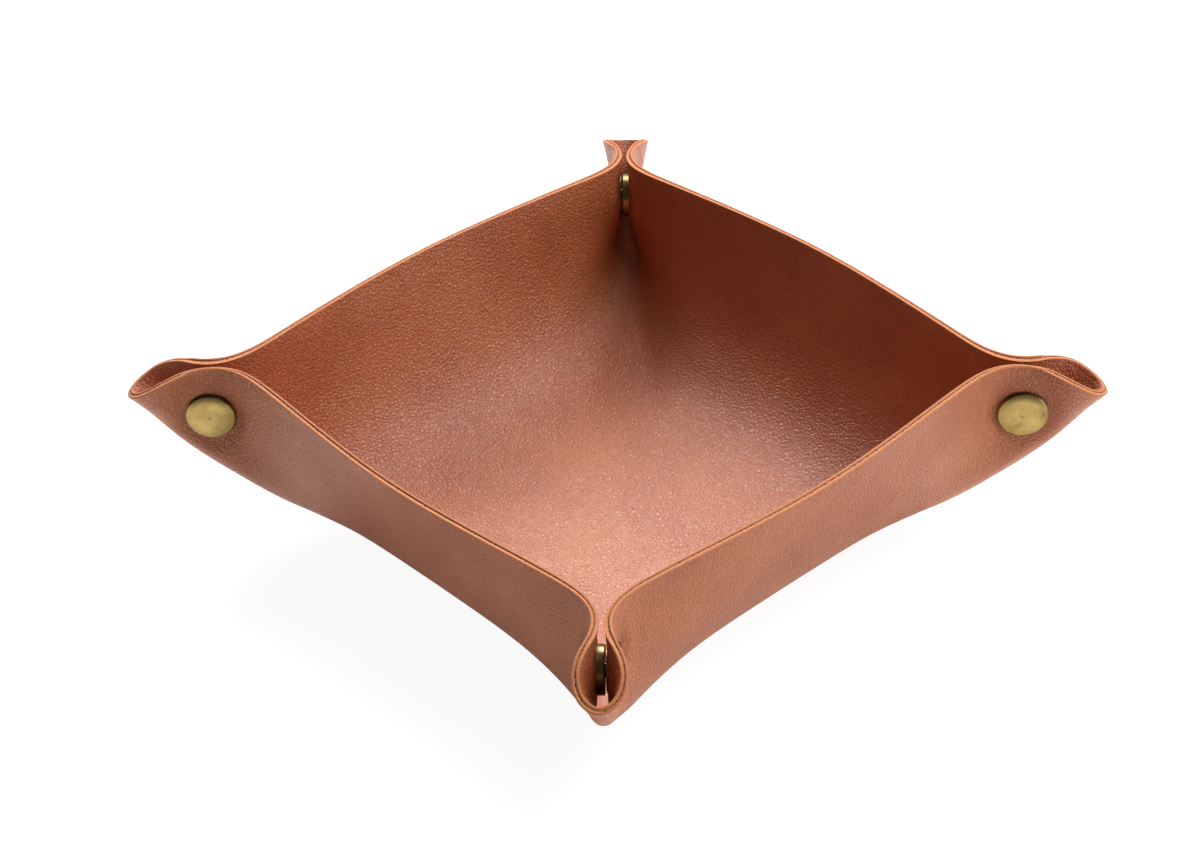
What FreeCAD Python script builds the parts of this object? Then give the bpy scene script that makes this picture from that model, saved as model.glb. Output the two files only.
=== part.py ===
import FreeCAD, Part
import math
import os
import Sketcher

# Folded leather tray: one square sheet of two bonded leather layers, pinched at each corner by a
# ring snap with a cap on both flanks. Millimetres, +Z up, base centre at the origin, walls along X and Y.

os.makedirs("parts", exist_ok=True)
doc = FreeCAD.newDocument("tray")

# Driving dimensions
dims = {
    "sheet_side": 200.0,          # flat square sheet, edge to edge
    "corner_round": 26.0,         # rounded corners of the flat sheet
    "layer_thick": 0.9,           # each of the two leather layers
    "snap_from_top": 11.5,        # snap centre to the wall's top edge, along the leather
    "snap_from_side": 29.2,       # snap centre to the sheet's other edge, along the leather
    "pinch_gap": 2.4,             # free space between the two flanks at the snap
    "wall_lean": 76.4,            # steepest slope of a wall, in degrees
    "hole_radius": 1.3,
    "cap_radius": 6.25,
    "cap_rise": 1.7,
    "cap_sheet": 0.38,
    "cap_side": 1.1,              # height of the cap's rim, where the domed top begins
    "cap_chamfer": 0.35,
    "edge_cut": 0.2,              # cut-off edges of the small turned pieces
    "cap_lip": 5.0,               # inner radius of the lip turned in under the cap
    "cap_lip_thick": 0.3,
    "plate_radius": 5.5,
    "plate_rise": 0.65,
    "plate_step": 4.95,
    "tube_radius": 1.25,
    "tube_bore": 0.85,
    "socket_radius": 5.7,
    "socket_sheet": 0.35,
    "socket_depth": 1.9,
    "socket_mouth": 2.25,
    "socket_lip": 0.3,
    "bore_radius": 1.27,          # hole of socket and stud over the rivet tube
    "flare_radius": 2.2,
    "flare_thick": 0.2,
    "ring_radius": 2.3,
    "ring_wire": 0.27,
    "ring_sweep": 300.0,          # the wire ring is open for the rest of the turn
    "stud_radius": 5.2,
    "stud_sheet": 0.35,
    "neck_radius": 1.75,
    "bulb_radius": 2.1,
    "bulb_reach": 0.4,            # how far the bulb passes the middle plane into the socket
    "tip_radius": 1.6,
    "tip_thick": 0.13,
    "squeeze": 0.1,               # how far the rivets press the metal into the leather
    "press_play": 0.1,            # the pressed seat reaches past the metal's rim
}

# Shape of the fold: each entry holds values at the distances from the centre listed in its stations
pinch_stations = (60.0, 74.0, 84.0, 92.0, 100.0)
pinch_reach = (22.04, 13.68, 14.11, 19.07, 25.25)     # how far from the spine the pinch starts
pinch_power = (2.57, 1.76, 2.29, 2.6, 3.03)           # how suddenly it starts
pinch_bow = (0.11, -0.071, 0.022, 0.138, 0.209)       # inward bow of the wall beside it
sag_stations = (60.0, 80.0, 100.0)
wall_sag = (-1.67, -4.1, -2.85)                # drop of a row of leather toward the corner
sag_spread = 30.8
ear_round = 0.83                               # roundness of the ear's underside
ear_width, floor_width = 7.8, 13.0             # how far the spine's own shape spreads from it
ear_start, ear_fade = 1.2, 11.0                # distances from the spine where it sets in and ends
foot_scale, foot_power, foot_start = 59.53, 4.265, 0.52
spine_steps = ((13.35, 32.04, 4.83), (29.69, 61.59, 3.87))   # slope in degrees, place, spread
flat_square = 12.0                             # half side of the flat middle of the base
spine_ramp, sag_ramp, turn_ramp = (14.0, 30.0), (36.0, 64.0), (38.0, 68.0)
flat_disc, disc_blend = 4.5, 7.9               # leather held flat round a snap, and its run-out

half_side = dims["sheet_side"] / 2
root2 = math.sqrt(2)


def ramp(u, ends):
    x = min(max((u - ends[0]) / (ends[1] - ends[0]), 0.0), 1.0)
    return x * x * (3 - 2 * x)


def through(stations, values, u):
    u = min(max(u, stations[0] - 4), stations[-1])
    total = 0.0
    for i, a in enumerate(stations):
        w = values[i]
        for j, b in enumerate(stations):
            if j != i:
                w *= (u - b) / (a - b)
        total += w
    return total


# Profiles of a wall's middle line and of an ear's spine, summed from their slopes
profile_step = 0.25
mean_step = 0.5


def build_profiles():
    reach, rise, spine = [0.0], [0.0], [0.0]
    for k in range(int(half_side / profile_step)):
        u = (k + 0.5) * profile_step
        bend = 1 - math.exp(-(max(u - foot_start, 0) / foot_scale) ** foot_power)
        lean = math.radians(dims["wall_lean"]) * bend
        slope = sum(a / (1 + math.exp((b - u) / c)) for a, b, c in spine_steps)
        slope = math.radians(slope) * ramp(u, spine_ramp)
        reach.append(reach[-1] + math.cos(lean) * profile_step)
        rise.append(rise[-1] + math.sin(lean) * profile_step)
        spine.append(spine[-1] + math.sin(slope) * profile_step * root2)
    return reach, rise, spine


mid_reach, mid_rise, spine_rise = build_profiles()


def read(profile, u):
    x = min(u / profile_step, len(profile) - 1.000001)
    k = int(x)
    return profile[k] + (profile[k + 1] - profile[k]) * (x - k)


snap_u = half_side - dims["snap_from_top"]
snap_v = half_side - dims["snap_from_side"]
pinch_half = dims["pinch_gap"] / 2 + dims["layer_thick"]
climb_step = 0.25
ear_reach = 20.0
row_steps = 80
least_full = 0.2
normal_step = 0.1


def row_shape(u):
    """Shape of the row of leather at distance u: its reach, and offset and height along it."""
    reach, rise, spine = read(mid_reach, u), read(mid_rise, u), read(spine_rise, u)
    ahead = min(u + mean_step, half_side)
    climb = (read(spine_rise, ahead) - read(spine_rise, u - mean_step)) / (ahead - u + mean_step)
    pull = (u - reach) / root2
    scale = through(pinch_stations, pinch_reach, u)
    power = through(pinch_stations, pinch_power, u)
    bow = through(pinch_stations, pinch_bow, u)
    full = max(1 - math.exp(-(u / scale) ** power), least_full)
    sag = through(sag_stations, wall_sag, u) * ramp(u, sag_ramp)
    turn = ramp(u, turn_ramp)
    width = ear_width * turn + floor_width * (1 - turn)

    def drawn_off(q):
        drawn = pull * (1 + bow * (1 - (q / u) ** 2) ** 2) * (1 - math.exp(-(q / scale) ** power)) / full
        return q / root2 - drawn

    # Across the spine the leather keeps its length, so it climbs where it doesn't run outwards
    climbed = [0.0]
    for k in range(int(ear_reach / climb_step)):
        q = (k + 0.5) * climb_step
        run = (drawn_off(q + climb_step / 2) - drawn_off(q - climb_step / 2)) / climb_step
        up = math.sqrt(max(0.5 - run * run, 0.0)) * (1 - math.exp(-(q / ear_start) ** 2))
        climbed.append(climbed[-1] + up * math.exp(-(q / ear_fade) ** 4) * climb_step)

    def at(v):
        q = max(u - v, 0.0)
        off = drawn_off(q)
        near = math.hypot(u - snap_u, v - snap_v)
        s = min(max((near - flat_disc) / disc_blend, 0.0), 1.0)
        off = pinch_half + (off - pinch_half) * s ** 3 * (10 - 15 * s + 6 * s * s)
        x = min(q / climb_step, len(climbed) - 1.000001)
        k = int(x)
        above = climbed[k] + (climbed[k + 1] - climbed[k]) * (x - k)
        close = math.exp(-(q / width) ** 3)
        z = (rise + sag * math.exp(-(q / sag_spread) ** 2)) * (1 - close) \
            + (spine - climb / 2 * q + ear_round * turn * above) * close
        return off, z
    return reach, at


def fold(u, v):
    """Point of the sheet's middle surface for flat coordinates u, v."""
    if v < 0:
        p = fold(u, -v)
        return FreeCAD.Vector(p.x, -p.y, p.z)
    if v > u:
        p = fold(v, u)
        return FreeCAD.Vector(p.y, p.x, p.z)
    if u < flat_square:
        return FreeCAD.Vector(u, v, dims["layer_thick"])
    reach, at = row_shape(u)
    h = v / row_steps
    along = reach / root2
    off, z = at(0.0)
    for k in range(row_steps):
        off2, z2 = at((k + 1) * h)
        along += math.sqrt(max(h * h - (off2 - off) ** 2 - (z2 - z) ** 2, 0.0))
        off, z = off2, z2
    return FreeCAD.Vector((along + off) / root2, (along - off) / root2, z + dims["layer_thick"])


def lifted(u, v, amount):
    """Point at a height above the middle surface, measured square to the leather."""
    p = fold(u, v)
    if amount == 0 or u < flat_square:
        return p + FreeCAD.Vector(0, 0, amount)
    h = normal_step
    n = (fold(u + h, v) - fold(u - h, v)).cross(fold(u, v + h) - fold(u, v - h))
    return p + n.normalize() * amount


# Leather layers
shares = (0.0, 0.16, 0.31, 0.44, 0.54, 0.62, 0.68, 0.73, 0.77, 0.81, 0.845,
          0.875, 0.9, 0.92, 0.94, 0.96, 0.98, 1.0)
row_places = (0.0, 0.08, 0.17, 0.27, 0.37, 0.46, 0.54, 0.61, 0.67, 0.72, 0.765,
              0.805, 0.84, 0.875, 0.91, 0.945, 0.975, 1.0)


def edge_distance(share):
    """Flat distance u at which the ray v = share * u leaves the sheet, past the rounded corner."""
    r = dims["corner_round"]
    c = half_side - r
    if share * half_side <= c:
        return half_side
    a, b, k = 1 + share ** 2, -2 * c * (1 + share), 2 * c * c - r * r
    return (-b + math.sqrt(b * b - 4 * a * k)) / (2 * a)


def wall_faces(amount):
    columns = []
    for share in shares:
        far = edge_distance(share)
        near = flat_square
        column = []
        for place in row_places:
            u = near + (far - near) * place
            if place == 0:
                column.append(FreeCAD.Vector(u, share * u, dims["layer_thick"] + amount))
            else:
                column.append(lifted(u, share * u, amount))
        columns.append(column)
    mirrored = [[FreeCAD.Vector(p.x, -p.y, p.z) for p in column] for column in columns[:0:-1]]
    surface = Part.BSplineSurface()
    surface.interpolate(mirrored + columns)
    face = surface.toShape()
    faces = []
    for k in range(4):
        turned = face.copy()
        turned.rotate(FreeCAD.Vector(), FreeCAD.Vector(0, 0, 1), 90 * k)
        faces.append(turned)
    z = dims["layer_thick"] + amount
    s = flat_square
    corners = [FreeCAD.Vector(x, y, z) for x, y in ((s, -s), (s, s), (-s, s), (-s, -s), (s, -s))]
    faces.append(Part.Face(Part.makePolygon(corners)))
    return faces


def rim_edge(face):
    return max(face.Edges, key=lambda e: min(v.Z for v in e.Vertexes) + e.BoundBox.ZMin)


def layer(label, lower, upper, cutters):
    faces = lower + upper
    for a, b in zip(lower[:4], upper[:4]):
        faces.append(Part.makeRuledSurface(rim_edge(a), rim_edge(b)))
    shell = Part.makeShell(faces)
    shell.sewShape(0.01)
    solid = Part.makeSolid(shell if shell.ShapeType == "Shell" else shell.Shells[0])
    if solid.Volume < 0:
        solid.reverse()
    solid = solid.cut(cutters)
    obj = doc.addObject("Part::Feature", label)
    obj.Label = label
    obj.Shape = solid.Solids[0] if len(solid.Solids) == 1 else solid
    return obj


# Spreadsheet with the driving and the derived dimensions
centre = fold(snap_u, snap_v)
dims["snap_reach"] = round((centre.x + centre.y) / root2, 4)
dims["snap_height"] = round(centre.z, 4)
sheet = doc.addObject("Spreadsheet::Sheet", "dims")
for i, (name, value) in enumerate(dims.items()):
    sheet.set("A%d" % (i + 1), name)
    sheet.set("B%d" % (i + 1), str(value))
    sheet.setAlias("B%d" % (i + 1), name)
doc.recompute()

seat = "(dims.pinch_gap / 2 + 2 * dims.layer_thick - dims.squeeze)"   # outer leather under a cap
inner = "(dims.pinch_gap / 2 + dims.squeeze)"                         # lining under socket and stud


def value_of(text):
    for name in sorted(dims, key=len, reverse=True):
        text = text.replace("dims." + name, repr(dims[name]))
    total = FreeCAD.Units.Quantity(text)
    return float(total.Value)


def arc_centre(p, q, radius, side):
    m = (p + q) * 0.5
    d = q - p
    away = FreeCAD.Vector(-d.y, d.x, 0).normalize()
    return m + away * side * math.sqrt(max(radius ** 2 - (d.Length / 2) ** 2, 0))


def lathe(label, outline, place):
    """Turned piece: outline of (radius, height, arc) corners in order; arc is (radius, side) or None."""
    body = doc.addObject("PartDesign::Body", label)
    body.Label = label
    sketch = body.newObject("Sketcher::SketchObject", label + "_outline")
    plane = [f for f in body.Origin.OriginFeatures if f.Role == "XZ_Plane"][0]
    sketch.AttachmentSupport = [(plane, "")]
    sketch.MapMode = "FlatFace"
    points = [FreeCAD.Vector(value_of(r), value_of(z), 0) for r, z, arc in outline]
    ends = []
    for i, (r, z, arc) in enumerate(outline):
        p, q = points[i], points[(i + 1) % len(points)]
        if arc is None:
            sketch.addGeometry(Part.LineSegment(p, q), False)
            ends.append((1, 2))
        else:
            radius = value_of(arc[0])
            c = arc_centre(p, q, radius, arc[1])
            bulge = ((p + q) * 0.5 - c).normalize() * radius
            g = sketch.addGeometry(Part.Arc(p, c + bulge, q), False)
            ends.append((1, 2) if (sketch.getPoint(g, 1) - p).Length < 1e-6 else (2, 1))
    for i, (r, z, arc) in enumerate(outline):
        prev = (i - 1) % len(outline)
        sketch.addConstraint(Sketcher.Constraint("Coincident", prev, ends[prev][1], i, ends[i][0]))
        if r == "0":
            sketch.addConstraint(Sketcher.Constraint("PointOnObject", i, ends[i][0], -2))
        else:
            n = sketch.addConstraint(Sketcher.Constraint("DistanceX", -1, 1, i, ends[i][0], points[i].x))
            sketch.setExpression("Constraints[%d]" % n, r)
        n = sketch.addConstraint(Sketcher.Constraint("DistanceY", -1, 1, i, ends[i][0], points[i].y))
        sketch.setExpression("Constraints[%d]" % n, z)
        if arc is not None:
            n = sketch.addConstraint(Sketcher.Constraint("Radius", i, value_of(arc[0])))
            sketch.setExpression("Constraints[%d]" % n, arc[0])
    turned = body.newObject("PartDesign::Revolution", label + "_turned")
    turned.Profile = sketch
    turned.ReferenceAxis = (sketch, ["V_Axis"])
    turned.Angle = 360
    body.Placement = place
    return body


# Outlines of the snap's turned pieces: radius and height from the corner's upright plane
plate_low = seat + " + dims.cap_lip_thick"
crown_edge = "(dims.cap_radius - dims.cap_chamfer)"
under_edge = "(dims.cap_radius - dims.cap_sheet)"
crown_drop = "(dims.cap_rise - dims.cap_side)"
crown_low = seat + " + dims.cap_side"


def crown(edge):
    return "(%s * %s + %s * %s) / (2 * %s)" % (edge, edge, crown_drop, crown_drop, crown_drop)


cap_outline = [
    ("0", seat + " + dims.cap_rise", (crown(crown_edge), -1)),
    (crown_edge, crown_low, None),
    ("dims.cap_radius", crown_low + " - dims.cap_chamfer", None),
    ("dims.cap_radius", seat + " + dims.edge_cut", None),
    ("dims.cap_radius - dims.edge_cut", seat, None),
    ("dims.cap_lip", seat, None),
    ("dims.cap_lip", plate_low, None),
    (under_edge, plate_low, None),
    (under_edge, crown_low + " - dims.cap_sheet", (crown(under_edge), 1)),
    ("0", seat + " + dims.cap_rise - dims.cap_sheet", None),
]


def post_outline(flare_height, flare_radius, flare_thick):
    """Rivet: plate held in the cap, hollow tube through the leather, end flared over the inner piece."""
    low = "(" + flare_height + " - " + flare_thick + ")"
    return [
        ("0", seat + " + dims.plate_rise", None),
        ("dims.plate_radius", seat + " + dims.plate_rise", None),
        ("dims.plate_radius", plate_low, None),
        ("dims.plate_step", plate_low, None),
        ("dims.plate_step", seat, None),
        ("dims.tube_radius", seat, None),
        ("dims.tube_radius", flare_height, None),
        (flare_radius, flare_height, None),
        (flare_radius, low, None),
        ("dims.tube_bore", low, None),
        ("dims.tube_bore", seat, None),
        ("0", seat, None),
    ]


socket_floor = inner + " - dims.socket_sheet"
socket_end = inner + " - dims.socket_depth"
socket_outline = [
    ("dims.bore_radius", inner, None),
    ("dims.socket_radius", inner, None),
    ("dims.socket_radius", socket_end + " + dims.edge_cut", None),
    ("dims.socket_radius - dims.edge_cut", socket_end, None),
    ("dims.socket_mouth", socket_end, None),
    ("dims.socket_mouth", socket_end + " + dims.socket_lip", None),
    ("dims.socket_radius - dims.socket_sheet", socket_end + " + dims.socket_lip", None),
    ("dims.socket_radius - dims.socket_sheet", socket_floor, None),
    ("dims.bore_radius", socket_floor, None),
]
stud_floor = inner + " - dims.stud_sheet"
stud_outline = [
    ("dims.bore_radius", inner, None),
    ("dims.stud_radius", inner, None),
    ("dims.stud_radius", stud_floor, None),
    ("dims.neck_radius", stud_floor, None),
    ("dims.neck_radius", "0", None),
    ("dims.bulb_radius", "-dims.edge_cut", None),
    ("dims.bulb_radius", "-dims.bulb_reach + dims.tip_thick", None),
    ("dims.bulb_radius - dims.edge_cut", "-dims.bulb_reach", None),
    ("dims.bore_radius", "-dims.bulb_reach", None),
]


def snap_place(angle, side):
    """Placement of a snap half: local Z runs from the corner's upright plane out through the flank."""
    a = math.radians(angle)
    out = FreeCAD.Vector(math.sin(a), -math.cos(a), 0) * side
    base = FreeCAD.Vector(math.cos(a), math.sin(a), 0) * dims["snap_reach"]
    base.z = dims["snap_height"]
    return FreeCAD.Placement(base, FreeCAD.Rotation(FreeCAD.Vector(0, 0, 1), out))


def rod(radius, place, start, end):
    """Cylinder round a snap's axis between two heights above the corner's upright plane."""
    axis = place.Rotation.multVec(FreeCAD.Vector(0, 0, 1))
    return Part.makeCylinder(radius, end - start, place.Base + axis * start, axis)


corners = {"ne": 45, "nw": 135, "sw": 225, "se": 315}
press_depth = 2.0
seat_height, inner_height = value_of(seat), value_of(inner)
nodes = []
holes, outer_presses, inner_presses = [], [], []
for corner, angle in corners.items():
    outward = snap_place(angle, 1)
    inward = snap_place(angle, -1)
    for half, place, flare in (("socket", outward, (socket_floor, "dims.flare_radius", "dims.flare_thick")),
                               ("stud", inward, ("-dims.bulb_reach", "dims.tip_radius", "dims.tip_thick"))):
        nodes.append(lathe("cap_%s_%s" % (half, corner), cap_outline, place))
        nodes.append(lathe("post_%s_%s" % (half, corner), post_outline(*flare), place))
        holes.append(rod(dims["hole_radius"], place, 0, seat_height + press_depth))
        outer_presses.append(rod(dims["cap_radius"] + dims["press_play"], place, seat_height,
                                 seat_height + press_depth))
        inner_presses.append(rod(dims[half + "_radius"] + dims["press_play"], place, 0, inner_height))
    nodes.append(lathe("socket_" + corner, socket_outline, outward))
    nodes.append(lathe("stud_" + corner, stud_outline, inward))
    ring = doc.addObject("Part::Torus", "ring_" + corner)
    ring.Label = "ring_" + corner
    ring.setExpression("Radius1", "dims.ring_radius")
    ring.setExpression("Radius2", "dims.ring_wire")
    ring.setExpression("Angle3", "dims.ring_sweep")
    lift = FreeCAD.Vector(0, 0, value_of(socket_end + " + dims.socket_lip + dims.ring_wire"))
    ring.Placement = outward * FreeCAD.Placement(lift, FreeCAD.Rotation())
    nodes.append(ring)

outer_side = wall_faces(-dims["layer_thick"])
bond_side = wall_faces(0.0)
inner_side = wall_faces(dims["layer_thick"])
nodes.insert(0, layer("outer_leather", outer_side, bond_side, holes + outer_presses))
nodes.insert(1, layer("lining_leather", bond_side, inner_side, holes + inner_presses))

doc.recompute()
problems = []
for obj in doc.Objects:
    if "Invalid" in obj.State or "Error" in obj.State:
        problems.append(obj.Label)
for node in nodes:
    if node.Shape.isNull() or not node.Shape.isValid():
        problems.append(node.Label + " shape")
if problems:
    raise RuntimeError("not valid: " + ", ".join(problems))
for node in nodes:
    node.Shape.exportStep("parts/%s.step" % node.Label)
print("nodes", len(nodes))
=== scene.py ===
import math

import bpy
import numpy as np
from mathutils import Matrix, Vector


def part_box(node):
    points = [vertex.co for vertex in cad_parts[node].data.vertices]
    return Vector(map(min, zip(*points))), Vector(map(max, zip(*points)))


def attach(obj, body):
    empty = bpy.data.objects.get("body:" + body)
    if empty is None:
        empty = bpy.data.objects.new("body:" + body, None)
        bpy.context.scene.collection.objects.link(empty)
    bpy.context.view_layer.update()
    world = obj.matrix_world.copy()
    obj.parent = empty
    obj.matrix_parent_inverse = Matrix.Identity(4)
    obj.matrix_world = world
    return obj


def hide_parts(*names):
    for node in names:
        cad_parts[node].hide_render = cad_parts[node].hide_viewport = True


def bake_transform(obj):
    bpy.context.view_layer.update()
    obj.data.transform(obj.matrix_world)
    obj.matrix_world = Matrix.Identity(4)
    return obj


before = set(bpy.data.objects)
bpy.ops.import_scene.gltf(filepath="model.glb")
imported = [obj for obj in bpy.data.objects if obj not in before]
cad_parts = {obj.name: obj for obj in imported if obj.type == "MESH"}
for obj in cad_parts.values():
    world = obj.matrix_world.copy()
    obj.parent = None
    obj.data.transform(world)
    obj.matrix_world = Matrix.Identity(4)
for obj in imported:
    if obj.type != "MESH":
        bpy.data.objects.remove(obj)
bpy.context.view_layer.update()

root2 = math.sqrt(2)
mm = 0.001
hair = 1e-6                   # in millimetres, a distance that counts as none

# The sheet and its fold, in millimetres: the same named values as the part's source
sheetCut = {
    "side": 200.0,
    "cornerRound": 26.0,
    "layerThick": 0.9,
    "snapFromTop": 11.5,
    "snapFromSide": 29.2,
    "pinchGap": 2.4,
    "flatDisc": 4.5,          # leather held flat round a snap, and its run-out
    "discBlend": 7.9,
    "flatSquare": 12.0,       # half side of the flat middle of the base
    "squareBlend": (-2.0, 1.0),   # from its edge, where the folded shape takes over
}
foldShape = {
    "wallLean": 76.4,
    "footScale": 59.53,
    "footPower": 4.265,
    "footStart": 0.52,
    "spineSteps": ((13.35, 32.04, 4.83), (29.69, 61.59, 3.87)),
    "pinchStations": (60.0, 74.0, 84.0, 92.0, 100.0),
    "pinchReach": (22.04, 13.68, 14.11, 19.07, 25.25),
    "pinchPower": (2.57, 1.76, 2.29, 2.6, 3.03),
    "pinchBow": (0.11, -0.071, 0.022, 0.138, 0.209),
    "pinchLeast": 0.2,        # least value that the pinch is divided by
    "sagStations": (60.0, 80.0, 100.0),
    "wallSag": (-1.67, -4.1, -2.85),
    "stationLead": 4.0,       # how far a curve through stations goes on before the first
    "sagSpread": 30.8,
    "earRound": 0.83,         # roundness of the ear's underside
    "earStart": 1.2,          # distances from the spine where it sets in and ends
    "earFade": 11.0,
    "earWidth": 7.8,          # how far the spine's own shape spreads from it
    "floorWidth": 13.0,
    "spineRamp": (14.0, 30.0),
    "sagRamp": (36.0, 64.0),
    "turnRamp": (38.0, 68.0),
}
sheetMesh = {
    "floorStep": 1.5,
    "wallStep": 0.78,
    "fineFrom": 52.0,
    "edgeRound": 0.18,        # rounding of a cut edge
    "edgeShoulder": (0.12, 0.4),  # its shoulder, as shares of half the thickness and of the rounding
    "bondDip": 0.04,          # how far the glue line lies back from the cut edge
    "rowSteps": 120,
    "profileStep": 0.25,
    "climbStep": 0.25,
    "climbReach": 20.0,
    "meanStep": 0.5,
    "normalStep": 0.12,
}

halfSide = sheetCut["side"] / 2
thick = sheetCut["layerThick"]
snapU = halfSide - sheetCut["snapFromTop"]
snapV = halfSide - sheetCut["snapFromSide"]
pinchHalf = sheetCut["pinchGap"] / 2 + thick
corners = {"ne": 45, "nw": 135, "sw": 225, "se": 315}    # directions in degrees


def ramp(x, ends):
    x = np.clip((x - ends[0]) / (ends[1] - ends[0]), 0, 1)
    return x * x * (3 - 2 * x)


# Running sum of steps along the last axis, from 0
def piled(steps, step):
    start = np.zeros(steps.shape[:-1] + (1,))
    return np.concatenate([start, np.cumsum(steps * step, axis=-1)], axis=-1)


# Value at u on the curve through the stations
def through(stations, values, u):
    u = np.clip(u, stations[0] - foldShape["stationLead"], stations[-1])
    total = 0.0
    for i, a in enumerate(stations):
        weight = values[i]
        for j, b in enumerate(stations):
            if j != i:
                weight = weight * (u - b) / (a - b)
        total = total + weight
    return total


def buildProfiles():
    f, step = foldShape, sheetMesh["profileStep"]
    middle = (np.arange(int(halfSide / step)) + 0.5) * step
    bend = 1 - np.exp(-(np.maximum(middle - f["footStart"], 0) / f["footScale"]) ** f["footPower"])
    lean = math.radians(f["wallLean"]) * bend
    slope = sum(a / (1 + np.exp((b - middle) / c)) for a, b, c in f["spineSteps"])
    slope = np.radians(slope) * ramp(middle, f["spineRamp"])
    u = np.arange(len(middle) + 1) * step
    return u, piled(np.cos(lean), step), piled(np.sin(lean), step), piled(np.sin(slope) * root2, step)


profileU, midReach, midRise, spineRise = buildProfiles()


# Distance from the corner's upright plane, at q from the spine, before the snap draws the flanks in
def drawnOff(u, q):
    f = foldShape
    scale = through(f["pinchStations"], f["pinchReach"], u)
    power = through(f["pinchStations"], f["pinchPower"], u)
    bow = through(f["pinchStations"], f["pinchBow"], u)
    full = np.maximum(1 - np.exp(-(u / scale) ** power), f["pinchLeast"])
    drawn = (u - np.interp(u, profileU, midReach)) / root2 * (1 + bow * (1 - (q / u) ** 2) ** 2)
    return q / root2 - drawn * (1 - np.exp(-(q / scale) ** power)) / full


# Height gained across the spine, where the leather keeps its length: rows by distance q from the spine
def buildClimb():
    f, step = foldShape, sheetMesh["climbStep"]
    u = np.arange(sheetCut["flatSquare"], halfSide + step, step)
    q = (np.arange(int(sheetMesh["climbReach"] / step)) + 0.5) * step
    run = (drawnOff(u[:, None], q + step / 2) - drawnOff(u[:, None], q - step / 2)) / step
    up = np.sqrt(np.maximum(0.5 - run ** 2, 0)) * (1 - np.exp(-(q / f["earStart"]) ** 2))
    return piled(up * np.exp(-(q / f["earFade"]) ** 4), step)


climbTable = buildClimb()


def climbed(u, q):
    step = sheetMesh["climbStep"]
    rowEnd, columnEnd = (n - 1.001 for n in climbTable.shape)    # just inside the last cell
    row = np.clip((u - sheetCut["flatSquare"]) / step, 0, rowEnd)
    column = np.clip(q / step, 0, columnEnd)
    i, j = row.astype(int), column.astype(int)
    a, b = row - i, column - j
    low = climbTable[i, j] * (1 - b) + climbTable[i, j + 1] * b
    return low * (1 - a) + (climbTable[i + 1, j] * (1 - b) + climbTable[i + 1, j + 1] * b) * a


# Distance from the corner's upright plane, and height, for flat places u, v with v up to u
def rowPoint(u, v):
    f = foldShape
    rise, spine = np.interp(u, profileU, midRise), np.interp(u, profileU, spineRise)
    ahead, behind = np.minimum(u + sheetMesh["meanStep"], halfSide), u - sheetMesh["meanStep"]
    climb = np.interp(ahead, profileU, spineRise) - np.interp(behind, profileU, spineRise)
    climb = climb / (ahead - behind)
    sag = through(f["sagStations"], f["wallSag"], u) * ramp(u, f["sagRamp"])
    turn = ramp(u, f["turnRamp"])
    width = f["earWidth"] * turn + f["floorWidth"] * (1 - turn)
    q = np.maximum(u - v, 0)
    near = np.hypot(u - snapU, v - snapV)
    s = np.clip((near - sheetCut["flatDisc"]) / sheetCut["discBlend"], 0, 1)
    off = pinchHalf + (drawnOff(u, q) - pinchHalf) * s ** 3 * (10 - 15 * s + 6 * s * s)
    close = np.exp(-(q / width) ** 3)
    wall = rise + sag * np.exp(-(q / f["sagSpread"]) ** 2)
    bottom = spine - climb / 2 * q + f["earRound"] * turn * climbed(u + 0 * q, q)
    return off, wall * (1 - close) + bottom * close


# Middle surface for 0 <= v <= u, as an array of points
def foldWedge(u, v):
    u = np.maximum(u, hair)
    steps = sheetMesh["rowSteps"]
    share = np.linspace(0, 1, steps + 1)
    off, z = rowPoint(u[:, None], v[:, None] * share)
    run = (v / steps)[:, None] ** 2 - np.diff(off) ** 2 - np.diff(z) ** 2
    along = np.interp(u, profileU, midReach) / root2 + np.sqrt(np.maximum(run, 0)).sum(axis=1)
    off, z = off[:, -1], z[:, -1]
    lifted = np.stack([(along + off) / root2, (along - off) / root2, z + thick], axis=1)
    flatFloor = np.stack([u, v, np.full_like(u, thick)], axis=1)
    mix = ramp(u, [sheetCut["flatSquare"] + d for d in sheetCut["squareBlend"]])[:, None]
    return flatFloor * (1 - mix) + lifted * mix


# Middle surface for any flat place x, y of the sheet
def fold(x, y):
    ax, ay = np.abs(x), np.abs(y)
    swap = ay > ax
    p = foldWedge(np.where(swap, ay, ax), np.where(swap, ax, ay))
    px = np.where(swap, p[:, 1], p[:, 0]) * np.where(x < 0, -1, 1)
    py = np.where(swap, p[:, 0], p[:, 1]) * np.where(y < 0, -1, 1)
    return np.stack([px, py, p[:, 2]], axis=1)


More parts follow.
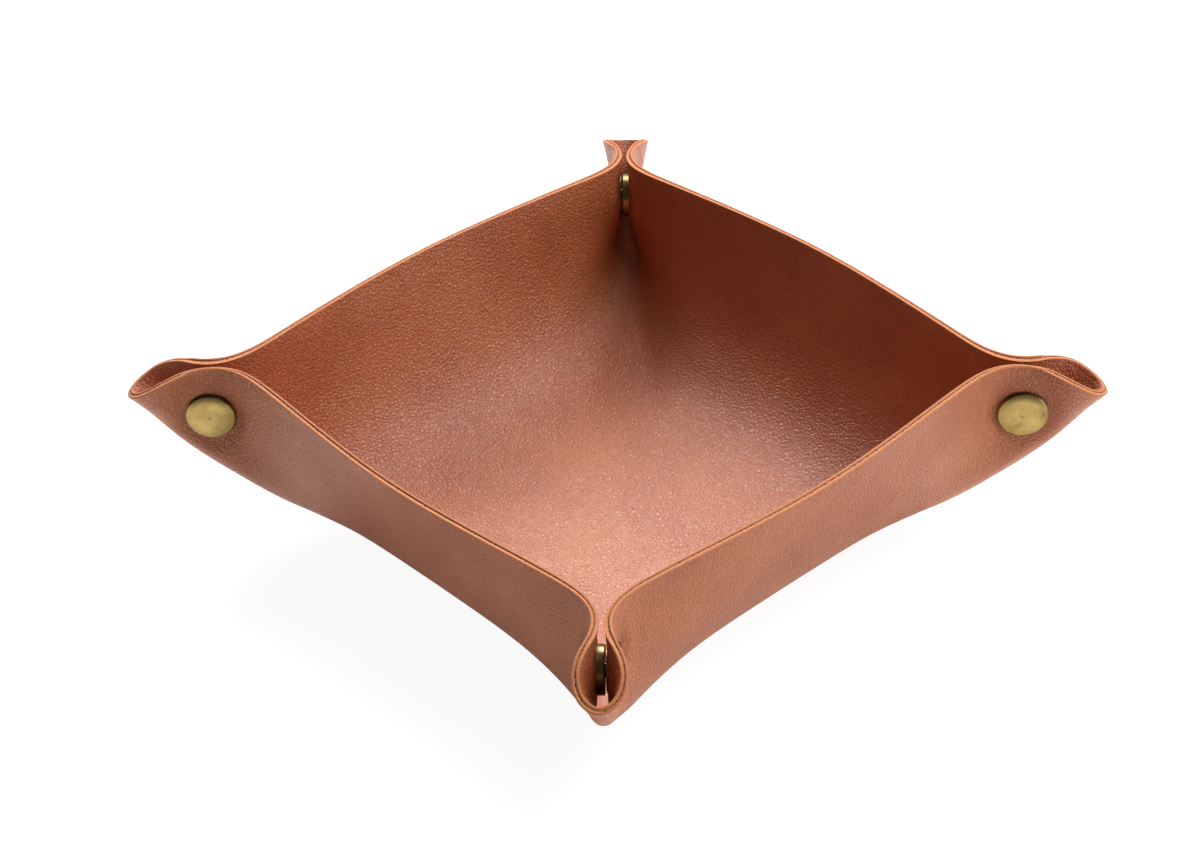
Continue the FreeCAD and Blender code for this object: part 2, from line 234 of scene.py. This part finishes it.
# Unit normal of the folded sheet, on its inner side. It reads each place from inside one eighth
def surfaceNormal(x, y):
    d = sheetMesh["normalStep"]
    ax, ay = np.abs(x), np.abs(y)
    swap = ay > ax
    u, v = np.where(swap, ay, ax), np.where(swap, ax, ay)
    onSpine = (u - v < hair) & (u > sheetCut["flatSquare"] + sheetCut["squareBlend"][1])
    alongU = foldWedge(u + d, v) - foldWedge(np.maximum(u - d, v), v)
    alongV = foldWedge(u, np.minimum(v + d, u)) - foldWedge(u, np.maximum(v - d, 0))
    n = np.cross(alongU, alongV)
    n[v < hair, 1] = 0
    level = (n[:, 0] + n[:, 1]) / 2
    n[onSpine, 0] = n[onSpine, 1] = level[onSpine]
    n /= np.maximum(np.linalg.norm(n, axis=1), hair)[:, None]
    nx = np.where(swap, n[:, 1], n[:, 0]) * np.where(x < 0, -1, 1)
    ny = np.where(swap, n[:, 0], n[:, 1]) * np.where(y < 0, -1, 1)
    return np.stack([nx, ny, n[:, 2]], axis=1)


# Size of the rounded sheet in the direction x, y, as a share of the square one
def edgeShare(x, y):
    big, small = np.maximum(np.abs(x), np.abs(y)), np.minimum(np.abs(x), np.abs(y))
    share = small / np.maximum(big, hair)
    r = sheetCut["cornerRound"]
    c = halfSide - r
    a, b, k = 1 + share ** 2, -2 * c * (1 + share), 2 * c * c - r * r
    rounded = (-b + np.sqrt(np.maximum(b * b - 4 * a * k, 0))) / (2 * a)
    return np.where(share * halfSide <= c, 1.0, rounded / halfSide)


def gridLines():
    m = sheetMesh
    inner = np.linspace(0, m["fineFrom"], int(m["fineFrom"] / m["floorStep"]) + 1)
    count = int((halfSide - m["fineFrom"]) / m["wallStep"])
    outer = np.linspace(m["fineFrom"], halfSide, count + 1)[1:]
    half = np.concatenate([inner, outer])
    return np.concatenate([-half[:0:-1], half])


gridAxis = gridLines()


# Grid cells for which inside(x, y) is true, as corner indices; those on a diagonal are split along it
def layerCells(inside):
    n = len(gridAxis)
    step = sheetMesh["wallStep"] / 4
    cells = []
    for i in range(n - 1):
        for j in range(n - 1):
            a, b, c, d = i * n + j, (i + 1) * n + j, (i + 1) * n + j + 1, i * n + j + 1
            x, y = gridAxis[i] + gridAxis[i + 1], gridAxis[j] + gridAxis[j + 1]
            if abs(abs(x) - abs(y)) > hair:
                halves = (((a, b, c, d), 0, 0),)
            elif x * y > 0:
                halves = (((a, b, c), step, -step), ((a, c, d), -step, step))
            else:
                halves = (((a, b, d), -step, -step), ((b, c, d), step, step))
            for face, dx, dy in halves:
                if inside(x / 2 + dx, y / 2 + dy):
                    cells.append(face)
    return cells


# Material slots of a leather piece; a seam face lies hidden between two pieces
skinFace, edgeFace, seamFace = 0, 1, 2


# Closed leather layer between two heights over the middle surface, with a rounded cut edge
def layerMesh(name, cells, low, high, lowEdge, highEdge):
    n = len(gridAxis)
    gx, gy = np.meshgrid(gridAxis, gridAxis, indexing="ij")
    gx, gy = gx.ravel(), gy.ravel()
    size = edgeShare(gx, gy)
    middle = (low + high) / 2
    up, inward = sheetMesh["edgeShoulder"]
    stations = [(low, lowEdge), (low + (middle - low) * up, lowEdge * inward), (low + lowEdge, 0.0),
                (high - highEdge, 0.0), (high - (high - middle) * up, highEdge * inward), (high, highEdge)]
    onEdge = np.maximum(np.abs(gx), np.abs(gy)) > halfSide - hair
    used = sorted({k for cell in cells for k in cell})
    number = {}
    places, heights = [], []
    for level in (0, 5, 1, 2, 3, 4):    # both skins, then the cut edge between them
        height, inset = stations[level]
        for k in used:
            if level in (0, 5) or onEdge[k]:
                number[level, k] = len(places)
                shrink = size[k] * (1 - inset / halfSide)
                places.append((gx[k] * shrink, gy[k] * shrink))
                heights.append(height)
    faces, kinds = [], []
    sides = {}
    for cell in cells:
        faces.append([number[5, k] for k in cell])
        faces.append([number[0, k] for k in reversed(cell)])
        kinds += [skinFace, skinFace]
        for a, b in zip(cell, cell[1:] + cell[:1]):
            if (b, a) in sides:
                del sides[b, a]
            else:
                sides[a, b] = True
    for a, b in sides:
        levels = range(6) if onEdge[a] and onEdge[b] else (0, 5)
        for below, above in zip(levels, list(levels)[1:]):
            faces.append([number[below, a], number[below, b], number[above, b], number[above, a]])
            kinds.append(edgeFace if onEdge[a] and onEdge[b] else seamFace)
    places, heights = np.array(places), np.array(heights)
    normals = surfaceNormal(places[:, 0], places[:, 1])
    points = (fold(places[:, 0], places[:, 1]) + normals * heights[:, None]) * mm
    mesh = bpy.data.meshes.new(name)
    mesh.from_pydata(points.tolist(), [], faces)
    mesh.polygons.foreach_set("material_index", kinds)
    flat = mesh.attributes.new("flat", "FLOAT_VECTOR", "POINT")
    flat.data.foreach_set("vector", np.column_stack([places, heights]).astype(np.float32).ravel())
    return mesh


# Copy of a mesh for the next corner round, with its flat places turned too
def turned(mesh, name, quarter):
    copy = mesh.copy()
    copy.name = name
    c, s = round(math.cos(quarter * math.pi / 2)), round(math.sin(quarter * math.pi / 2))
    for source, field in ((copy.vertices, "co"), (copy.attributes["flat"].data, "vector")):
        values = np.empty(len(copy.vertices) * 3, np.float32)
        source.foreach_get(field, values)
        values = values.reshape(-1, 3)
        x, y = c * values[:, 0] - s * values[:, 1], s * values[:, 0] + c * values[:, 1]
        source.foreach_set(field, np.column_stack([x, y, values[:, 2]]).ravel())
    return copy


# UVs in flat metres, smooth shading, and the folded sheet's own normals on both skins
def finishLeather(mesh, low, high):
    count = len(mesh.vertices)
    flat = np.empty(count * 3, np.float32)
    mesh.attributes["flat"].data.foreach_get("vector", flat)
    flat = flat.reshape(-1, 3).astype(float)
    corner = np.empty(len(mesh.loops), np.int32)
    mesh.loops.foreach_get("vertex_index", corner)
    uv = mesh.uv_layers.new(name="flatSheet")
    uv.data.foreach_set("uv", (flat[corner, :2] * mm).astype(np.float32).ravel())
    mesh.shade_smooth()
    own = np.empty(len(mesh.loops) * 3, np.float32)
    mesh.corner_normals.foreach_get("vector", own)
    own = own.reshape(-1, 3)
    skin = np.repeat([p.material_index == skinFace for p in mesh.polygons],
                     [p.loop_total for p in mesh.polygons])
    normals = surfaceNormal(flat[:, 0], flat[:, 1])[corner]
    facing = np.where(flat[corner, 2] > (low + high) / 2, 1, -1)[:, None]
    own = np.where(skin[:, None], normals * facing, own)
    mesh.normals_split_custom_set(own.tolist())


def newObject(name, data):
    obj = bpy.data.objects.new(name, data)
    bpy.context.scene.collection.objects.link(obj)
    return obj


# Keeps the part of a piece behind a plane and closes the cut
def halveAt(obj, point, direction):
    bpy.ops.object.select_all(action="DESELECT")
    obj.select_set(True)
    bpy.context.view_layer.objects.active = obj
    bpy.ops.object.mode_set(mode="EDIT")
    bpy.ops.mesh.select_all(action="SELECT")
    bpy.ops.mesh.bisect(plane_co=point, plane_no=direction, use_fill=True, clear_outer=True)
    bpy.ops.object.mode_set(mode="OBJECT")


# The flank of the corner at +x +y: flat limits, and two bands, one on the wall and one along the ear's
# spine
flank = {
    "nearX": 54.0,
    "nearY": 40.0,
    "wallStart": 84.0,        # places along the corner's diagonal, from the middle
    "wallEnd": 92.8,
    "spineFoot": (84.0, 11.95),
    "spineTilt": 40.1,        # slope of a line just over the ear's spine, in degrees
    "spineStart": 0.0,        # distances from that line
    "spineEnd": 2.7,
}


def inFlank(x, y):
    return x > flank["nearX"] and y > flank["nearY"] and y < x


def outsideFlanks(x, y):
    return not (inFlank(x, y) or inFlank(y, -x) or inFlank(-x, -y) or inFlank(-y, x))


def diagonalPlace(angle, along, height):
    a = math.radians(angle)
    return (math.cos(a) * along * mm, math.sin(a) * along * mm, height * mm)


# Foot of a line parallel to the spine, at a distance above it, in the corner's upright plane
def spineLine(distance):
    tilt = math.radians(flank["spineTilt"])
    foot = flank["spineFoot"]
    return foot[0] - math.sin(tilt) * distance, foot[1] + math.cos(tilt) * distance


def lineHeight(distance, along):
    foot = spineLine(distance)
    return foot[1] + (along - foot[0]) * math.tan(math.radians(flank["spineTilt"]))


def buildLeather(name, low, high, lowEdge, highEdge, node, skin, cutEdge):
    bodyMesh = layerMesh(name + "Main", layerCells(outsideFlanks), low, high, lowEdge, highEdge)
    patch = layerMesh(name + "Flank", layerCells(inFlank), low, high, lowEdge, highEdge)
    main = newObject(name + "Main", bodyMesh)
    pieces, bands = [main], []
    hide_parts(node)
    cutLow = (flank["wallStart"], lineHeight(flank["spineStart"], flank["wallStart"]))
    cutHigh = (flank["wallEnd"], lineHeight(flank["spineEnd"], flank["wallEnd"]))
    for k, (corner, angle) in enumerate(corners.items()):
        start = Vector(diagonalPlace(angle, *cutLow))
        end = Vector(diagonalPlace(angle, *cutHigh))
        across = Vector((math.sin(math.radians(angle)), -math.cos(math.radians(angle)), 0))
        towardWall = (end - start).cross(across).normalized()
        if towardWall.z < 0:
            towardWall = -towardWall
        wallBand = [(flank["wallStart"], 0), (flank["wallEnd"], 0)]
        earBand = [spineLine(flank["spineStart"]), spineLine(flank["spineEnd"])]
        for half, direction, band in (("Wall", -towardWall, wallBand), ("Ear", towardWall, earBand)):
            piece = newObject("%sFlank%s_%s" % (name, half, corner), turned(patch, "flank", k))
            halveAt(piece, start, direction)
            pieces.append(piece)
            bands.append((piece, corner, [diagonalPlace(angle, *place) for place in band]))
    for piece in pieces:
        finishLeather(piece.data, low, high)
        for material in (skin, cutEdge, skin):
            piece.data.materials.append(material)
    for piece, corner, band in bands:
        "snap_" + corner
        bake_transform(piece)
    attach(main, "tray")
    return pieces


# A shader socket that can be written into sums; each operator adds its Math node
class Value:
    def __init__(self, finish, socket):
        self.finish, self.socket = finish, socket

    def maths(self, operation, other, swap=False):
        pair = [other, self] if swap else [self, other]
        return self.finish.add("ShaderNodeMath", {"operation": operation}, pair)

    def __add__(self, other):
        return self.maths("ADD", other)

    def __sub__(self, other):
        return self.maths("SUBTRACT", other)

    def __mul__(self, other):
        return self.maths("MULTIPLY", other)

    def __rsub__(self, other):
        return self.maths("SUBTRACT", other, swap=True)

    __radd__ = __add__
    __rmul__ = __mul__


# A material whose shader is the Principled one
class Finish:
    def __init__(self, name):
        self.material = bpy.data.materials.new(name)
        self.material.use_nodes = True
        self.tree = self.material.node_tree
        self.shader = self.tree.nodes["Principled BSDF"]

    def plug(self, value, socket):
        if isinstance(value, Value):
            self.tree.links.new(value.socket, socket)
        elif hasattr(value, "__len__") and len(value) == 3 and len(socket.default_value) == 4:
            socket.default_value = (*value, 1)
        else:
            socket.default_value = value

    def add(self, kind, settings=None, values=None, output=0):
        node = self.tree.nodes.new(kind)
        for name, value in (settings or {}).items():
            if name == "stops":
                elements = node.color_ramp.elements
                while len(elements) < len(value):
                    elements.new(0.5)
                for element, (place, colour) in zip(elements, value):
                    element.position = place
                    element.color = (*colour, 1)
            else:
                setattr(node, name, value)
        pairs = values.items() if isinstance(values, dict) else enumerate(values or [])
        for name, value in pairs:
            self.plug(value, node.inputs[name])
        return Value(self, node.outputs[output])

    def noise(self, place, scale, detail=2.0, roughness=0.5, distortion=0.0):
        return self.add("ShaderNodeTexNoise", {}, {"Vector": place, "Scale": scale, "Detail": detail,
                                                   "Roughness": roughness, "Distortion": distortion})

    def cells(self, place, scale, feature, smooth=None):
        values = {"Vector": place, "Scale": scale}
        if smooth is not None:
            values["Smoothness"] = smooth
        return self.add("ShaderNodeTexVoronoi", {"feature": feature}, values)

    def ramp(self, value, stops):
        return self.add("ShaderNodeValToRGB", {"stops": stops}, [value])

    def spread(self, value, low, high, outLow=0.0, outHigh=1.0):
        return self.add("ShaderNodeMapRange", {"interpolation_type": "SMOOTHSTEP"},
                        {"Value": value, "From Min": low, "From Max": high,
                         "To Min": outLow, "To Max": outHigh})

    def mix(self, share, first, second):
        node = self.tree.nodes.new("ShaderNodeMix")
        node.data_type = "RGBA"
        for index, value in ((0, share), (6, first), (7, second)):    # its factor and two colours
            self.plug(value, node.inputs[index])
        return Value(self, node.outputs[2])

    def bump(self, height, distance, strength, under=None):
        values = {"Height": height, "Distance": distance, "Strength": strength}
        if under is not None:
            values["Normal"] = under
        return self.add("ShaderNodeBump", {}, values)

    def set(self, **values):
        for name, value in values.items():
            self.plug(value, self.shader.inputs[name.replace("_", " ")])
        return self.material


noiseRange = (0.3, 0.7)       # where a noise has most of its values

# Leather: fine pebbled grain, a little mottled. Patterns are counted per millimetre of the flat sheet
grain = {
    "drift": 0.9,             # noise that makes the pebbles uneven
    "driftReach": (1.1, 1.1, 1.1),
    "pebble": 1.0,
    "pebbleSoft": 0.3,
    "pebbleShare": 0.5,       # how much of the relief is in the domes, and in their rims
    "rimShare": 0.6,
    "rimWidth": 0.3,
    "pebbleDepth": 0.0002,
    "pebbleStrength": 0.9,
    "grooveWidth": 0.14,
    "grooveTint": 0.35,
    "grooveShade": 0.5,
    "crease": 0.7,
    "creaseDepth": 0.0002,
    "creaseStrength": 0.7,
    "mottle": 0.03,
    "mottleShare": 0.75,      # the creases have the rest
    "toneRange": (0.34, 0.66),
    "polish": 3.6,            # fine noise in the roughness
    "polishRange": (0.3, 0.8),
    "polishGroove": 0.3,
    "roughness": 0.42,
    "roughnessRange": (-0.06, 0.1),
}


def leatherSkin(name, light, deep, gloss):
    finish, look = Finish(name), grain
    place = finish.add("ShaderNodeUVMap", {"uv_map": "flatSheet"})
    flatMm = finish.add("ShaderNodeVectorMath", {"operation": "SCALE"}, {"Vector": place, "Scale": 1 / mm})
    drift = finish.add("ShaderNodeTexNoise", {}, {"Vector": flatMm, "Scale": look["drift"]}, output=1)
    warped = finish.add("ShaderNodeVectorMath", {"operation": "MULTIPLY_ADD"},
                        [drift, look["driftReach"], flatMm])
    gap = finish.cells(warped, look["pebble"], "DISTANCE_TO_EDGE")
    dome = finish.cells(warped, look["pebble"], "SMOOTH_F1", smooth=look["pebbleSoft"])
    crease = finish.noise(warped, look["crease"], detail=5.0, roughness=0.62, distortion=0.5)
    patchy = finish.noise(flatMm, look["mottle"], detail=3.0, roughness=0.6)
    polish = finish.noise(flatMm, look["polish"], detail=3.0, roughness=0.6)
    tone = patchy * look["mottleShare"] + crease * (1 - look["mottleShare"])
    tone = finish.spread(tone, *look["toneRange"])
    groove = 1 - finish.spread(gap, 0.0, look["grooveWidth"])
    colour = finish.mix(tone, deep, light)
    colour = finish.mix(groove * look["grooveTint"], colour, tuple(c * look["grooveShade"] for c in deep))
    rough = finish.spread(polish + groove * look["polishGroove"], *look["polishRange"],
                          *(look["roughness"] + d for d in look["roughnessRange"]))
    low = finish.bump(crease, look["creaseDepth"], look["creaseStrength"])
    relief = finish.spread(gap, 0.0, look["rimWidth"]) * look["rimShare"] - dome * look["pebbleShare"]
    high = finish.bump(relief, look["pebbleDepth"], look["pebbleStrength"], low)
    finish.shader.inputs["Specular IOR Level"].default_value = gloss
    return finish.set(Base_Color=colour, Roughness=rough, Normal=high)


# Cut edge: loose fibres, and the dark glue line broken into dashes
rawEdge = {
    "fibre": 2.2,
    "fibreDepth": 0.00012,
    "fibreStrength": 0.8,
    "dash": 1.3,
    "dashReach": 1.1,         # in millimetres, how much the dashes widen and narrow the line
    "dashMiddle": 0.5,
    "lineRange": (0.05, 0.15),
    "lineTint": 0.9,
    "roughness": 0.72,
}


def leatherEdge(name, light, deep, bondLine):
    finish, look = Finish(name), rawEdge
    place = finish.add("ShaderNodeAttribute", {"attribute_name": "flat"}, output=1)
    height = finish.add("ShaderNodeSeparateXYZ", {}, [place], output=2)
    fibre = finish.noise(place, look["fibre"], detail=4.0, roughness=0.7)
    dashes = finish.noise(place, look["dash"])
    fromBond = finish.add("ShaderNodeMath", {"operation": "ABSOLUTE"}, [height])
    fromLine = fromBond + dashes * look["dashReach"] - look["dashMiddle"]
    dark = 1 - finish.spread(fromLine, *look["lineRange"])
    colour = finish.mix(finish.spread(fibre, *noiseRange), deep, light)
    colour = finish.mix(dark * look["lineTint"], colour, bondLine)
    lift = finish.bump(fibre, look["fibreDepth"], look["fibreStrength"])
    return finish.set(Base_Color=colour, Roughness=look["roughness"], Normal=lift)


leatherTones = {
    "outer": {"light": (0.47, 0.145, 0.05), "deep": (0.38, 0.1, 0.03), "gloss": 0.5},
    "lining": {"light": (0.46, 0.135, 0.043), "deep": (0.37, 0.092, 0.025), "gloss": 0.95},
    "edge": {"light": (0.56, 0.2, 0.07), "deep": (0.4, 0.12, 0.04), "bondLine": (0.07, 0.02, 0.009)},
}
outerSkin = leatherSkin("outer leather grain", **leatherTones["outer"])
liningSkin = leatherSkin("lining leather grain", **leatherTones["lining"])
cutEdgeFinish = leatherEdge("raw cut edge", **leatherTones["edge"])
print("materials for the leather done")

outerPieces = buildLeather("outer", -thick, 0.0,
                           sheetMesh["edgeRound"], sheetMesh["bondDip"],
                           "outer_leather", outerSkin, cutEdgeFinish)
liningPieces = buildLeather("lining", 0.0, thick,
                            sheetMesh["bondDip"], sheetMesh["edgeRound"],
                            "lining_leather", liningSkin, cutEdgeFinish)
print("leather done,", len(outerPieces + liningPieces), "pieces")


# Snap caps: brass with patina, which thickens towards the rim; at the top of the rim the extra darkening
# is painted shade
# darkest tone: patina, and also the painted shade at the top of the rim
patinaAndShade = (0.07, 0.05, 0.02)
brassCap = {
    "tones": [(0.3, patinaAndShade), (0.4, (0.34, 0.235, 0.08)),
              (0.56, (0.47, 0.335, 0.115)), (0.74, (0.56, 0.42, 0.17))],
    "smudge": 260.0,          # patterns are counted per metre, and distances are in metres
    "cloud": 120.0,
    "brushed": 2600.0,
    "rim": (0.0043, 0.0062),  # distances from the cap's middle
    "rimDrift": 0.001,
    "rimTint": 0.25,
    "top": (0.0024, 0.0064),  # heights over it, where the painted shade at the rim's top sets in
    "topDrift": 0.002,
    "topTint": 0.65,
    "roughness": (0.42, 0.3),
    "brushDepth": 0.00003,
    "brushStrength": 0.5,
}


def antiqueBrass(name, middle):
    finish, look = Finish(name), brassCap
    place = finish.add("ShaderNodeTexCoord", {}, output=3)
    fromMiddle = finish.add("ShaderNodeVectorMath", {"operation": "SUBTRACT"}, [place, middle])
    radius = finish.add("ShaderNodeVectorMath", {"operation": "LENGTH"}, [fromMiddle], output=1)
    height = finish.add("ShaderNodeSeparateXYZ", {}, [fromMiddle], output=2)
    smudge = finish.noise(place, look["smudge"], detail=3.0, roughness=0.6)
    cloud = finish.noise(place, look["cloud"], detail=3.0, roughness=0.6, distortion=0.4)
    brushed = finish.noise(place, look["brushed"], roughness=0.6)
    rim = finish.spread(radius + cloud * look["rimDrift"], *look["rim"])
    top = finish.spread(height + smudge * look["topDrift"], *look["top"])
    colour = finish.ramp(smudge * 0.5 + cloud * 0.5, look["tones"])
    # the rim darkens with patina; the extra darkening at its top is painted shade
    colour = finish.mix(rim * look["rimTint"] + rim * top * look["topTint"], colour, patinaAndShade)
    rough = finish.spread(cloud, *noiseRange, *look["roughness"])
    return finish.set(Base_Color=colour, Metallic=1.0, Roughness=rough,
                      Normal=finish.bump(brushed, look["brushDepth"], look["brushStrength"]))


# Metal inside the snaps; the brass's dark tone is partly patina and partly painted shade of the snaps'
# insides
innerMetal = {
    # brass darkened partly for patina and partly as painted shade inside the snaps
    "brass": (0.3, 0.22, 0.1),
    "brassRoughness": 0.26,
    "wire": (0.5, 0.5, 0.5),
    "wireRoughness": 0.25,
    "marks": 900.0,
    "markShade": 0.8,
    "markRoughness": 0.12,
}


def plainMetal(name, colour, roughness):
    finish, look = Finish(name), innerMetal
    place = finish.add("ShaderNodeTexCoord", {}, output=3)
    marks = finish.noise(place, look["marks"], detail=3.0, roughness=0.6)
    marked = tuple(c * look["markShade"] for c in colour)
    tone = finish.mix(finish.spread(marks, *noiseRange), marked, colour)
    rough = finish.spread(marks, *noiseRange, roughness, roughness + look["markRoughness"])
    return finish.set(Base_Color=tone, Metallic=1.0, Roughness=rough)


innerFinish = plainMetal("darkened brass", innerMetal["brass"], innerMetal["brassRoughness"])
wireFinish = plainMetal("spring wire", innerMetal["wire"], innerMetal["wireRoughness"])
for nodeName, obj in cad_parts.items():
    if nodeName.endswith("leather"):
        continue
    metal = wireFinish if nodeName.startswith("ring") else innerFinish
    if nodeName.startswith("cap"):
        low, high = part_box(nodeName)
        middle = tuple((a + b) / 2 for a, b in zip(low, high))
        metal = antiqueBrass("antique brass " + nodeName.replace("_", " "), middle)
    obj.data.materials.clear()
    obj.data.materials.append(metal)
print("snaps done")


# Studio: the camera's place in millimetres and degrees, and a floor of two sheets of paper
studio = {
    "focalPixels": 3074.8,    # focal length in pixels of the photograph
    "photoWidth": 1200,
    "sensorWidth": 36.0,
    "clip": (0.05, 20.0),
    "distance": 765.2,
    "elevation": 35.824,
    "azimuth": 47.849,
    "target": (-7.75, 1.82, 23.56),
    "roll": -1.807,
    "paperSize": 8.0,
    "paperTooth": 300.0,
    "toothShade": 1.04,
    "paperRoughness": 0.9,
    "seenTone": 0.12,         # the sheet that only the camera sees glows, so that few shadows show on it
    "seenGlow": 0.93,
    "bounceTone": 0.86,       # the sheet that the camera doesn't see lights the object from below
    "bounceGlow": 0.2,
    "bounceDrop": 0.0002,
    "roomLight": 0.08,
}
white = (1, 1, 1, 1)


def placeCamera():
    a, e = math.radians(studio["azimuth"]), math.radians(studio["elevation"])
    back = Vector((math.sin(a) * math.cos(e), -math.cos(a) * math.cos(e), math.sin(e)))
    camera = bpy.data.cameras.new("studioCamera")
    camera.sensor_width = studio["sensorWidth"]
    camera.lens = studio["focalPixels"] * studio["sensorWidth"] / studio["photoWidth"]
    camera.clip_start, camera.clip_end = studio["clip"]
    obj = newObject("studioCamera", camera)
    across = Vector((math.cos(a), math.sin(a), 0))
    up = back.cross(across)
    r = math.radians(studio["roll"])
    xAxis = math.cos(r) * across + math.sin(r) * up
    yAxis = back.cross(xAxis)
    obj.matrix_world = Matrix((xAxis, yAxis, back)).transposed().to_4x4()
    obj.location = (Vector(studio["target"]) + back * studio["distance"]) * mm
    bpy.context.scene.camera = obj


# Places and sizes in metres, power in watts; each light faces the middle of the tray
softLights = {
    "backPanel": {"place": (-0.55, 0.6, 0.7), "size": (1.4, 0.7), "power": 12.0},
    "leftLight": {"place": (-0.79, 0.32, 0.71), "size": (0.5, 0.5), "power": 8.0},
    "sideLight": {"place": (0.38, 0.45, 0.93), "size": (0.8, 0.8), "power": 11.0},
    "lowRight": {"place": (0.93, 0.53, 0.27), "size": (0.4, 0.4), "power": 2.4},
}


def softLight(name, place, size, power):
    light = bpy.data.lights.new(name, "AREA")
    light.shape, light.size, light.size_y, light.energy = "RECTANGLE", size[0], size[1], power
    obj = newObject(name, light)
    obj.location = place
    obj.rotation_euler = (-Vector(place)).to_track_quat("-Z", "Y").to_euler()


def paperSheet(name, height, tone, glow):
    bpy.ops.mesh.primitive_plane_add(size=studio["paperSize"], location=(0, 0, height))
    sheet = bpy.context.active_object
    sheet.name = name
    paper = Finish(name)
    tooth = paper.noise(paper.add("ShaderNodeTexCoord", {}, output=3), studio["paperTooth"])
    paper.shader.inputs["Emission Color"].default_value = white
    paper.shader.inputs["Emission Strength"].default_value = glow
    grey = paper.mix(tooth, (tone,) * 3, (tone * studio["toothShade"],) * 3)
    sheet.data.materials.append(paper.set(Base_Color=grey, Roughness=studio["paperRoughness"]))
    return sheet


def buildStudio():
    seen = paperSheet("studioFloor", 0.0, studio["seenTone"], studio["seenGlow"])
    seen.visible_diffuse = seen.visible_glossy = seen.visible_shadow = False
    bounce = paperSheet("studioBounce", -studio["bounceDrop"], studio["bounceTone"], studio["bounceGlow"])
    bounce.visible_camera = False
    world = bpy.data.worlds.new("studioLight")
    bpy.context.scene.world = world
    world.use_nodes = True
    room = world.node_tree.nodes["Background"]
    room.inputs["Color"].default_value = white
    room.inputs["Strength"].default_value = studio["roomLight"]
    for name, light in softLights.items():
        softLight(name, **light)
    bpy.context.scene.view_settings.view_transform = "Standard"


placeCamera()
buildStudio()
print("studio done")
